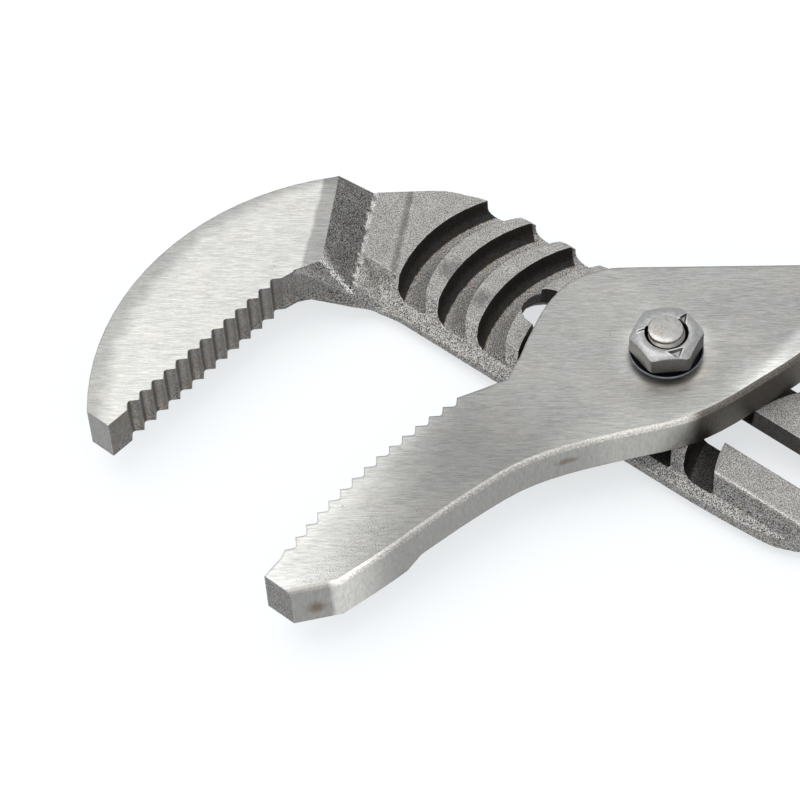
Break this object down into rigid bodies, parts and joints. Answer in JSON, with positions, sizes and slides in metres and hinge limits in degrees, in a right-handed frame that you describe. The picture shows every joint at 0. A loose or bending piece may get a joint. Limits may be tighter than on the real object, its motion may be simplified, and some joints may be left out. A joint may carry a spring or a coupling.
{
  "type": "water pump pliers",
  "caption": "Adjustable water pump pliers with angled toothed jaws, arc channels along a slotted shank, a sliding pivot bolt with hexagon nut, and dipped grips.",
  "frame": {"origin": "centre of the bolt head's outer face, on the pivot bolt's axis", "axes": "+X from the bolt towards the handles, along the tool; +Y across the tool, from the groove half's handle to the tongue half's; +Z along the bolt, from its head to its nut"},
  "size_m": [0.4076, 0.1536, 0.0393],
  "materials": {
    "forged_steel": "blasted forging, jaw face ground",
    "ground_steel": "ground with fine lines",
    "bolt_steel": "worn bare steel",
    "nut_steel": "worn bare steel with dark corners",
    "black_steel": "glossy black oxide",
    "lower_vinyl": "soft sheen dipped vinyl",
    "upper_vinyl": "soft sheen dipped vinyl"
  },
  "bodies": {
    "groove_body": {"groove_half": "forged_steel", "groove_half_grip": "lower_vinyl"},
    "pivot_body": {"pivot_bolt": "bolt_steel", "pivot_nut": "nut_steel", "spring_washer": "black_steel"},
    "tongue_body": {"tongue_half": "ground_steel", "tongue_half_grip": "upper_vinyl"}
  },
  "joints": [
    {"name": "bolt_slide", "type": "slide", "parent": "groove_body", "child": "pivot_body", "axis": [0.7236, -0.6903, 0], "range_m": [-0.04587, 0.04587]},
    {"name": "jaw_pivot", "type": "hinge", "parent": "pivot_body", "child": "tongue_body", "pos_m": [0, 0, 0], "axis": [0, 0, 1], "range_deg": [-9.5, 60]}
  ]
}
